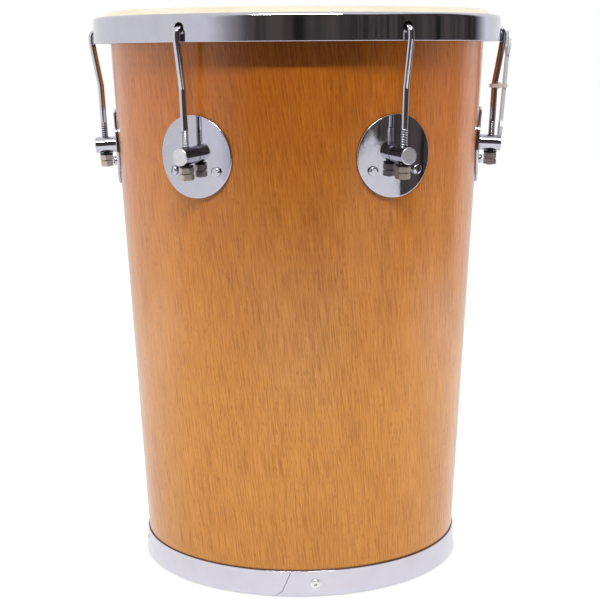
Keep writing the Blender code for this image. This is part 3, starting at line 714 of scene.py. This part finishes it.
VENEER = varnished_wood()
CHROME = plated("chrome_plate", CHROME_COLOUR, **BRIGHT)
ROD_CHROME = plated(
    "rod_chrome", (0.66, 0.655, 0.70), roughness=0.05, smudge=0.012, scratch=0.0020, painted_shade=True,
)
PLATE_CHROME = plated("plate_chrome", CHROME_COLOUR, **BRIGHT, painted_shade=True)
POST_CHROME = plated("post_chrome", CHROME_COLOUR, **BRIGHT, end_face=POST_REACH)
RIVET_METAL = plated(
    "rivet_metal", (0.86, 0.86, 0.88), roughness=0.34, smudge=0.004, scratch=0.0008, metal=0.8,
)
RING_CHROME = plated(
    "ring_chrome", (0.66, 0.65, 0.73), roughness=0.10, smudge=0.020, scratch=0.0015,
)
ZINC = plated("dull_zinc", (0.60, 0.525, 0.45), roughness=0.34, smudge=0.003, scratch=0.0006)
WRENCH_STEEL = plated(
    "pale_steel", (0.80, 0.86, 0.90), roughness=0.45, smudge=0.006, scratch=0.0010, metal=0.35,
)
SKIN = drum_skin()
BLACK = black_steel()
NYLON = white_nylon()


# Shell, hoop, skin and ring


def build_shell():
    """Tapered wall with a rounded bearing edge."""
    corners = [
        (wall_radius(SHELL_FOOT), SHELL_FOOT),
        (wall_radius(SHELL_TOP), SHELL_TOP),
        (off_wall(SHELL_TOP, -WALL), SHELL_TOP),
        (off_wall(SHELL_FOOT, -WALL), SHELL_FOOT),
    ]
    section = fillet(corners, [BEARING_ROUND, INNER_EDGE_ROUND], steps=5)
    mesh = turned("shell_wall", section, DRUM_STEPS, map_radius=VENEER_MAP_RADIUS)
    show("shell_wall", mesh, VENEER, "drum", "shell")


def sheet_section(path, rounds, thickness, edge):
    """Section of bent sheet with its free edges rounded: the path is the outer face."""
    outer = fillet(path, rounds, steps=6)
    inner = offset_path(outer, thickness)
    first = fillet([outer[1], outer[0], inner[0], inner[1]], [edge, edge], steps=3)[1:-1]
    last = fillet([inner[-2], inner[-1], outer[-1], outer[-2]], [edge, edge], steps=3)[1:-1]
    return outer[1:-1] + last[::-1] + inner[1:-1][::-1] + first[::-1]


def build_hoop():
    """Rolled band with its top turned in, punched for the hooks."""
    path = [(HOOP_RADIUS, HOOP_FOOT), (HOOP_RADIUS, HOOP_TOP), (LIP_RADIUS, HOOP_TOP)]
    section = sheet_section(path, [HOOP_ROUND], HOOP_THICKNESS, HOOP_EDGE)
    band = turned("hoop_band", section, DRUM_STEPS)
    punch = prism("punch", circle(SMALL_STEPS, HOOP_HOLE_RADIUS), -PUNCH_REACH, PUNCH_REACH)
    lie = about("X", 90)
    holes = []
    for angle in LUG_ANGLES:
        spot = Matrix.Translation(polar(angle, HOOP_RADIUS, HOOP_HOLE_Z))
        holes.append(placed(punch, spot @ about("Z", angle) @ lie))
    mesh = combined(band, joined(holes), "DIFFERENCE")
    show("hoop_band", mesh, CHROME, "hoop", "hoop")


def build_head():
    """Skin over the bearing edge, sloping down inside the hoop's lip."""
    corners = [
        (0, TOTAL_HEIGHT),
        (wall_radius(SHELL_TOP), TOTAL_HEIGHT),
        (COLLAR_RADIUS, TOTAL_HEIGHT - COLLAR_SLOPE_DROP),
        (COLLAR_RADIUS, TOTAL_HEIGHT - COLLAR_DROP),
    ]
    outer = fillet(corners, [CROWN_ROUND, COLLAR_ROUND], steps=6)
    inner = [Vector((max(p.x, 0), p.y)) for p in offset_path(outer, -SKIN_THICKNESS)]
    inner[0].x = 0
    mesh = turned("skin", outer + inner[::-1], DRUM_STEPS, closed=False)
    show("skin", mesh, SKIN, "drum", "drumhead")


def build_ring():
    """Chromed strip round the foot with its slanted seam."""
    off = SEAT_GAP + RING_THICKNESS
    path = [
        (off_wall(0, -WALL), 0),
        (off_wall(0, off), 0),
        (off_wall(RING_HEIGHT, off), RING_HEIGHT),
    ]
    section = sheet_section(path, [RING_ROUND], RING_THICKNESS, RING_EDGE)
    strip = turned("foot_ring", section, DRUM_STEPS)
    lean = math.tan(math.radians(SEAM_LEAN))
    flare = math.tan(math.radians(SEAM_FLARE))
    knee = SEAM_FLARE_HEIGHT - RING_HEIGHT / 2
    line = fillet([
        (RING_HEIGHT * lean, RING_HEIGHT),
        (knee * lean, knee),
        (knee * lean - SEAM_FLARE_HEIGHT * 2 * flare, knee - SEAM_FLARE_HEIGHT * 2),
    ], [SEAM_BEND], steps=4)
    half = SEAM_GAP / 2
    slit = [(p.x - half, p.y) for p in line] + [(p.x + half, p.y) for p in line[::-1]]
    middle = wall_frame(SEAM_ANGLE, RING_HEIGHT / 2)
    seam = placed(prism("slit", slit, -2 * WALL, 2 * off), middle)
    mesh = combined(strip, seam, "DIFFERENCE")
    show("foot_ring", mesh, RING_CHROME, "drum", "bottom_ring")


def build_rivets():
    """Blind rivets with an open bore."""
    base = 2 * SEAT_GAP + RING_THICKNESS
    bottom = base - RIVET_BORE_DEPTH
    back = -(WALL + 2 * SEAT_GAP)
    head = fillet([
        (RIVET_BORE_RADIUS, bottom),
        (RIVET_BORE_RADIUS, base + RIVET_HEAD_HEIGHT),
        (RIVET_FACE_RADIUS, base + RIVET_HEAD_HEIGHT),
        (RIVET_HEAD_RADIUS, base + RIVET_RIM_HEIGHT),
        (RIVET_HEAD_RADIUS, base),
    ], [FINE_EDGE, RIVET_DOME, FINE_EDGE], steps=4)
    tail = [
        (RIVET_SHANK_RADIUS, base),
        (RIVET_SHANK_RADIUS, back),
        (RIVET_TAIL_RADIUS, back - RIVET_TAIL_SLOPE),
        (RIVET_BORE_RADIUS, back - RIVET_TAIL_LENGTH),
        (0, back - RIVET_TAIL_LENGTH),
    ]
    mesh = turned("rivet", [(0, bottom)] + head + tail, SMALL_STEPS, closed=False)
    for k, angle in enumerate(RIVET_ANGLES, 1):
        place = wall_frame(angle, RIVET_HEIGHT)
        show(f"rivet_{k}", mesh, RIVET_METAL, "drum", f"ring_rivet_{k}", place)


# Lugs


def on_plate(x, y, distance):
    """Point of a plate in its lug's frame: x round the shell, y up it, a distance off it."""
    height = PLATE_HEIGHT + y * math.cos(TAPER)
    swing = math.degrees(x / wall_radius(height))
    home = wall_frame(0, PLATE_HEIGHT).inverted()
    return home @ wall_frame(swing, height, distance).translation


def plate_mesh():
    """Round plate bent to the shell, its rim rounded over, with painted shade where it meets the
    wood.
    """
    bm = bmesh.new()
    shade_layer = bm.verts.layers.float.new(PAINTED_SHADE_MASK)
    front = [(PLATE_RADIUS * i / PLATE_RINGS, PLATE_FACE) for i in range(PLATE_RINGS)]
    front.append((PLATE_RADIUS - PLATE_RIM - BRACE_STEP, PLATE_FACE))
    for i in range(RIM_STEPS + 1):
        lean = math.pi / 2 * i / RIM_STEPS
        reach = PLATE_RADIUS - PLATE_RIM + PLATE_RIM * math.sin(lean)
        front.append((reach, PLATE_FACE - PLATE_RIM + PLATE_RIM * math.cos(lean)))
    front += [(PLATE_RADIUS, SEAT_GAP + PLATE_SHADE_HEIGHT), (PLATE_RADIUS, SEAT_GAP)]
    back = [(PLATE_RADIUS * i / PLATE_RINGS, SEAT_GAP) for i in range(PLATE_RINGS)][::-1]
    turns = [2 * math.pi * i / PLATE_STEPS for i in range(PLATE_STEPS)]
    rows = []
    for radius, distance in front + back:
        if radius < ON_AXIS:
            rows.append([bm.verts.new(on_plate(0, 0, distance))] * PLATE_STEPS)
        else:
            points = [(radius * math.cos(turn), radius * math.sin(turn)) for turn in turns]
            rows.append([bm.verts.new(on_plate(x, y, distance)) for x, y in points])
    # Painted shade: the rim row against the wood is marked to be painted dark
    for vert in rows[len(front) - 1]:
        vert[shade_layer] = 1.0
    bridge(bm, rows)
    return finished_mesh("plate", bm, PLATE_SHARP_ANGLE)


def post_mesh():
    """Cross-drilled bar; its bolt, washer and head, behind the wall, are drawn round."""
    bar = fillet([
        (0, POST_REACH), (POST_RADIUS, POST_REACH),
        (POST_RADIUS, PLATE_SEAT), (BOLT_RADIUS, PLATE_SEAT),
    ], [POST_EDGE, POST_FOOT_EDGE], steps=4)
    seat = -(WALL + SEAT_GAP + WALL_CURVE_ROOM)
    back = seat - BOLT_WASHER_THICKNESS
    end = back - BOLT_HEAD_HEIGHT
    tail = [
        (BOLT_RADIUS, seat), (BOLT_WASHER_RADIUS, seat), (BOLT_WASHER_RADIUS, back),
        (BOLT_HEAD_RADIUS, back), (BOLT_HEAD_RADIUS, end), (0, end),
    ]
    body = turned("post", bar + tail, POST_STEPS, closed=False)
    bore = circle(SMALL_STEPS, THREAD_RADIUS + ROD_ROOM)
    drill = prism("drill", bore, -DRILL_REACH, DRILL_REACH)
    lie = Matrix.Translation((0, 0, ROD_STANDOFF)) @ about("X", -90)
    return combined(body, placed(drill, lie), "DIFFERENCE")


def screw_mesh():
    """Pan-head screw with a slot."""
    top = PLATE_SEAT + SCREW_HEAD_HEIGHT
    section = fillet([
        (0, top), (SCREW_HEAD_RADIUS, top),
        (SCREW_HEAD_RADIUS, PLATE_SEAT), (SCREW_SHANK_RADIUS, PLATE_SEAT),
    ], [SCREW_DOME, FINE_EDGE], steps=5)
    section += [(SCREW_SHANK_RADIUS, SCREW_SHANK_END), (0, SCREW_POINT)]
    body = turned("screw", section, SMALL_STEPS, closed=False)
    reach, half = SCREW_SLOT_REACH, SCREW_SLOT_HALF
    outline = [(-reach, -half), (reach, -half), (reach, half), (-reach, half)]
    slot = prism("slot", outline, top - SCREW_SLOT_DEPTH, top + TOOL_OVERSHOOT)
    return combined(body, slot, "DIFFERENCE")


def rod_path():
    """Centre line of a rod in its lug's plane, in the frame of its straight part: (up, out)."""
    straight = HOOP_RADIUS + ROD_TO_HOOP + ROD_RADIUS
    tail = LUG_HEIGHT - ROD_TAIL
    hook = HOOP_HOLE_Z - HOOP_HOLE_RADIUS + SEAT_GAP + ROD_RADIUS
    corner = Vector((straight, hook))
    tip = Vector((HOOP_RADIUS - HOOP_THICKNESS - HOOK_INSIDE_BAND, hook))
    bent = fillet([
        (off_wall(tail, ROD_STANDOFF), tail),
        (off_wall(JOG_START, ROD_STANDOFF), JOG_START),
        (straight, JOG_END),
        corner,
    ], [JOG_BEND, JOG_BEND], steps=5)[:-1]
    bent += fillet([bent[-1], corner, tip], [HOOK_ROUND], steps=12)[1:]
    rise = Vector((math.sin(TAPER), math.cos(TAPER)))
    normal = Vector((math.cos(TAPER), -math.sin(TAPER)))
    home = Vector((wall_radius(LUG_HEIGHT), LUG_HEIGHT)) + normal * ROD_STANDOFF
    return [Vector(((p - home).dot(rise), (p - home).dot(normal))) for p in bent]


def rod_mesh():
    """Bent round bar, its lower end cut with a screw thread, with painted shade in its grooves."""
    bm = bmesh.new()
    shade_layer = bm.verts.layers.float.new(PAINTED_SHADE_MASK)
    path = rod_path()
    rows = []

    def ring(centre, side, radii, shades=None):
        row = []
        for i, radius in enumerate(radii):
            turn = 2 * math.pi * i / ROD_SIDES
            point = centre + side * radius * math.sin(turn)
            row.append(bm.verts.new((radius * math.cos(turn), point.x, point.y)))
            row[-1][shade_layer] = shades[i] if shades else 0.0
        rows.append(row)

    up = Vector((1, 0))
    out = Vector((0, 1))
    start = path[0].x
    count = round((THREAD_TOP - start) / THREAD_PITCH * THREAD_RINGS)
    for j in range(count + 1):
        y = start + (THREAD_TOP - start) * j / count
        full = min(1.0, (y - start) / THREAD_TIP_LENGTH)
        outer = THREAD_RADIUS - THREAD_TIP_TAPER * (1 - full)
        radii = []
        shades = []
        for i in range(ROD_SIDES):
            phase = (y / THREAD_PITCH - i / ROD_SIDES) % 1.0
            crest = abs(phase * 2 - 1)  # 1 on a ridge, 0 in a groove
            groove = 1 - min(1.0, crest * THREAD_CREST)
            radii.append(outer - THREAD_DEPTH * groove * full)
            # Painted shade: the grooves of the thread are marked to be painted dark
            shades.append(min(1.0, max(0.0, 2.2 - 4 * crest)))
        ring(up * y, out, radii, shades)
    plain = [ROD_RADIUS] * ROD_SIDES
    ring(up * (THREAD_TOP + ROD_EDGE), out, plain)
    for before, point, after in zip(path, path[1:], path[2:]):
        way = (after - before).normalized()
        ring(point, Vector((-way.y, way.x)), plain)
    way = (path[-1] - path[-2]).normalized()
    side = Vector((-way.y, way.x))
    ring(path[-1] - way * ROD_EDGE, side, plain)
    ring(path[-1], side, [ROD_RADIUS - ROD_EDGE] * ROD_SIDES)
    bridge(bm, rows)
    bm.faces.new(rows[0])
    bm.faces.new(rows[-1])
    return finished_mesh("rod", bm, ROD_SHARP_ANGLE)


def nut_mesh(low):
    """Hexagon nut with its corners chamfered and its bore countersunk."""
    high = low + NUT_HEIGHT
    flat = NUT_FLATS / 2
    corner = flat / math.cos(math.pi / 6)
    hexagon = prism("hexagon", circle(6, corner, math.pi / 6), low, high)
    face = flat * NUT_FACE_SHARE
    past = corner * NUT_CORNER_CLEAR
    bevel = turned("bevel", [
        (0, low), (face, low), (past, low + NUT_CHAMFER),
        (past, high - NUT_CHAMFER), (face, high), (0, high),
    ], NUT_STEPS, closed=False)
    block = combined(hexagon, bevel, "INTERSECT")
    bore = THREAD_RADIUS + NUT_ROOM
    mouth = bore + NUT_MOUTH_FLARE
    tool = turned("bore", [
        (0, low - TOOL_OVERSHOOT), (mouth, low - TOOL_OVERSHOOT), (bore, low + NUT_MOUTH_DEPTH),
        (bore, high - NUT_MOUTH_DEPTH), (mouth, high + TOOL_OVERSHOOT), (0, high + TOOL_OVERSHOOT),
    ], BORE_STEPS, closed=False)
    return combined(block, tool, "DIFFERENCE")


def washer_mesh(low):
    inner = THREAD_RADIUS + ROD_ROOM
    high = low + WASHER_THICKNESS
    corners = [(inner, low), (WASHER_RADIUS, low), (WASHER_RADIUS, high), (inner, high)]
    return turned("washer", rounded_loop(corners, FINE_EDGE, steps=2), NUT_STEPS)


def build_lugs():
    """Plate, post, screws, rod, washer and nuts of each lug."""
    plate = plate_mesh()
    post = post_mesh()
    screw = screw_mesh()
    rod = rod_mesh()
    washer_low = -POST_RADIUS - SEAT_GAP - WASHER_THICKNESS
    nut_low = washer_low - SEAT_GAP - NUT_HEIGHT
    lock_low = nut_low - SEAT_GAP - NUT_HEIGHT
    washer = washer_mesh(washer_low)
    nut = nut_mesh(nut_low)
    lock = nut_mesh(lock_low)
    upright = about("X", -90)
    swing = math.degrees(math.asin(SCREW_SIDE / off_wall(PLATE_HEIGHT, PLATE_FACE)))
    screw_height = PLATE_HEIGHT - SCREW_DROP * math.cos(TAPER)
    for k, angle in enumerate(LUG_ANGLES, 1):
        on_shell = wall_frame(angle, PLATE_HEIGHT)
        show(f"plate_{k}", plate, PLATE_CHROME, "drum", f"lug_plate_{k}", on_shell)
        at_post = wall_frame(angle, LUG_HEIGHT)
        show(f"post_{k}", post, POST_CHROME, "drum", f"lug_post_{k}", at_post)
        for letter, side in (("a", -1), ("b", 1)):
            slot_turn = about("Z", SCREW_TURNS[letter] + SCREW_TURN_STEP * (k - 1))
            place = wall_frame(angle + side * swing, screw_height) @ slot_turn
            name = f"screw_{k}{letter}"
            show(name, screw, CHROME, "drum", f"plate_{name}", place)
        on_rod = wall_frame(angle, LUG_HEIGHT, ROD_STANDOFF)
        show(f"rod_{k}", rod, ROD_CHROME, f"rod_{k}", f"tension_rod_{k}", on_rod)
        axis = on_rod @ upright
        show(f"washer_{k}", washer, BLACK, "drum", f"rod_washer_{k}", axis)
        body = f"nuts_{k}"
        place = axis @ about("Z", NUT_TURN * (k % 3))
        show(f"nut_{k}", nut, ZINC, body, f"tuning_nut_{k}", place)
        place = axis @ about("Z", (NUT_TURN + LOCK_TURN) * (k % 3))
        show(f"lock_{k}", lock, ZINC, body, f"lock_nut_{k}", place)


build_shell()
build_hoop()
build_head()
build_ring()
build_rivets()
build_lugs()

for name, surface in (("flesh_hoop", ZINC), ("tuning_wrench", WRENCH_STEEL), ("cable_tie", NYLON)):
    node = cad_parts[name]
    node.data.materials.clear()
    node.data.materials.append(surface)


# Studio

AMBIENT = 0.11
MIRRORED_ROOM = 0.90
FLOOR_SIZE = 8
FLOOR_GREYS = [(0.36, 0.36, 0.36, 1), (0.38, 0.38, 0.385, 1)]
# Colour of the painted reflection of a dark room
ROOM_DARK = (0.050, 0.052, 0.048)
UPRIGHT = math.pi / 2
NO_FADE = -9

PHOTO_PIXELS = 600
FOCAL_PIXELS = 1419.0
SENSOR_WIDTH = 36.0
EYE = (0.0009, -1.178, 0.4182)
EYE_DOWN = 0.1735
EYE_ROLL = -0.007035


def floor_surface():
    """Pale floor that shows as white and keeps the drum's cast shadow, with a painted contact shadow
    and painted shade round the drum; from below it is clear.

    Distances are in the floor's own unit, which is its whole width.
    """
    surface, n, shader = new_material("pale_floor", (0.93, 0.93, 0.94))
    place = n.object_place()
    away = n.add("ShaderNodeVectorMath", {0: place}, operation="LENGTH").outputs[1]
    path = n.add("ShaderNodeLightPath").outputs
    # Painted shadow: a dark contact line at the ring's foot, and painted shade that lightens away
    # from the drum
    contact_shadow = n.span(away, 0.0160, 0.0172, 0.25, 1.0)
    shadow = n.span(away, 0.02, 0.15, 0.80, 1.0)
    shown = n.math("MULTIPLY", n.seen_directly(path), n.math("MINIMUM", contact_shadow, shadow))
    # Painted shade in reflections: mirrors see the floor darker near the drum
    mirrored_floor_shade = n.span(away, 0.06, 0.22, 0.62, 0.75)
    mirrored = n.math("MULTIPLY", path["Is Glossy Ray"], mirrored_floor_shade)
    from_below = n.add("ShaderNodeNewGeometry").outputs["Backfacing"]
    n.fill(shader, {
        "Base Color": n.mix(n.noise(place, scale=40.0), *FLOOR_GREYS),
        "Roughness": 0.9,
        "Specular IOR Level": 0.0,
        "Emission Color": (1, 1, 1, 1),
        "Emission Strength": n.math("ADD", shown, mirrored),
        "Alpha": n.math("SUBTRACT", 1.0, from_below),
    })
    return surface


def card_surface(name, pale=ROOM_DARK, start=NO_FADE, fade=1.0):
    """Card that only mirrors see, a painted reflection: pale up to start, then fading to a dark,
    streaky room.
    """
    surface, n, shader = new_material(name, ROOM_DARK)
    place = n.object_place()
    blend = n.span(n.axis(place, 0), start, start + fade, ease="SMOOTHSTEP")
    streaks = n.span(n.noise(n.stretch(place, (9, 0.7, 1)), roughness=0.6), 0.35, 0.62)
    deep = tuple(c * 0.3 for c in ROOM_DARK)
    raised = tuple(c * gain for c, gain in zip(ROOM_DARK, (2.0, 1.6, 1.6)))
    # Painted reflection: a dark room with streaks, glowing only for mirrors
    room = n.mix(streaks, opaque(deep), opaque(raised))
    n.fill(shader, {
        "Base Color": (0, 0, 0, 1),
        "Specular IOR Level": 0.0,
        "Emission Color": n.mix(blend, opaque(pale), room),
        "Emission Strength": 1.0,
    })
    return surface


def studio_plane(name, surface, size, place=(0, 0, 0), turn=(0, 0, 0), mirrors_only=True):
    bm = bmesh.new()
    bmesh.ops.create_grid(bm, x_segments=1, y_segments=1, size=0.5)
    mesh = bpy.data.meshes.new(name)
    bm.to_mesh(mesh)
    bm.free()
    mesh.materials.append(surface)
    plane = bpy.data.objects.new(name, mesh)
    bpy.context.scene.collection.objects.link(plane)
    plane.scale = (*size, 1)
    plane.location = place
    plane.rotation_euler = turn
    if mirrors_only:
        plane.visible_camera = False
        plane.visible_diffuse = False
        plane.visible_shadow = False


def soft_light(name, size, power, place, aim):
    data = bpy.data.lights.new(name, "AREA")
    data.shape = "RECTANGLE"
    data.size, data.size_y = size
    data.energy = power
    lamp = bpy.data.objects.new(name, data)
    bpy.context.scene.collection.objects.link(lamp)
    lamp.location = place
    way = Vector(aim) - Vector(place)
    lamp.rotation_euler = way.to_track_quat("-Z", "Y").to_euler()
    return lamp


def build_room():
    """Pale floor, and the dark cards, painted reflections that the chrome shows in front and at the
    right.
    """
    studio_plane("floor", floor_surface(), (FLOOR_SIZE, FLOOR_SIZE), mirrors_only=False)
    room = card_surface("dark_room")
    left_end = card_surface("dark_room_left", (0.88, 0.87, 0.92), start=-0.238, fade=0.344)
    right_end = card_surface("dark_room_right", (0.93, 0.93, 0.98), start=-0.456, fade=0.3125)
    ahead = (UPRIGHT, 0, 0)
    sideways = (UPRIGHT, 0, -UPRIGHT)
    studio_plane("front_card", left_end, (3.0, 1.7), (-0.77, -1.30, 0.85), ahead)
    studio_plane("front_right_card", room, (0.52, 1.60), (0.99, -1.30, 0.90), ahead)
    studio_plane("corner_card", room, (0.65, 1.60), (1.25, -0.975, 0.90), sideways)
    studio_plane("right_card", right_end, (1.6, 1.7), (1.25, 0.15, 0.85), sideways)


def build_world():
    """White surroundings: full to the eye, nearly full in mirrors, and faint as light."""
    world = bpy.data.worlds.new("studio")
    world.use_nodes = True
    n = Nodes(world.node_tree)
    path = n.add("ShaderNodeLightPath").outputs
    mirrored = n.span(path["Is Glossy Ray"], 0, 1, AMBIENT, MIRRORED_ROOM)
    strength = n.add("ShaderNodeMix", {0: n.seen_directly(path), 2: mirrored, 3: 1.0}).outputs[0]
    background = world.node_tree.nodes["Background"]
    n.fill(background, {"Strength": strength, "Color": (1, 1, 1, 1)})
    bpy.context.scene.world = world


def build_lights():
    """One long soft lamp above the front, a faint one at the foot, and one at each side."""
    soft_light(
        "key_light", size=(1.5, 0.14), power=42, place=(0.0, -1.35, 2.0), aim=(0, 0, 0.35),
    )
    low = soft_light(
        "low_light", size=(0.6, 0.1), power=0.24, place=(0.0, -0.50, 0.09), aim=(0, 0, 0.08),
    )
    low.data.spread = math.radians(95)
    sides = [
        soft_light("side_light", size=(0.5, 0.8), power=8.0, place=(x, 0.10, 0.30), aim=(0, 0, 0.22))
        for x in (-1.0, 1.0)
    ]
    for lamp in [low] + sides:
        lamp.visible_glossy = False
        lamp.visible_camera = False


def build_camera():
    """Eye of the photograph: level with the hoop's lower edge, looking slightly down."""
    data = bpy.data.cameras.new("photo_camera")
    data.sensor_fit = "HORIZONTAL"
    data.sensor_width = SENSOR_WIDTH
    data.lens = FOCAL_PIXELS * data.sensor_width / PHOTO_PIXELS
    data.clip_start = 0.05
    data.clip_end = 20
    camera = bpy.data.objects.new("photo_camera", data)
    bpy.context.scene.collection.objects.link(camera)
    tilt = Matrix.Rotation(UPRIGHT - EYE_DOWN, 4, "X")
    roll = Matrix.Rotation(EYE_ROLL, 4, "Z")
    camera.matrix_world = Matrix.Translation(EYE) @ tilt @ roll
    bpy.context.scene.camera = camera


build_room()
build_world()
build_lights()
build_camera()
bpy.context.scene.view_settings.view_transform = "Standard"
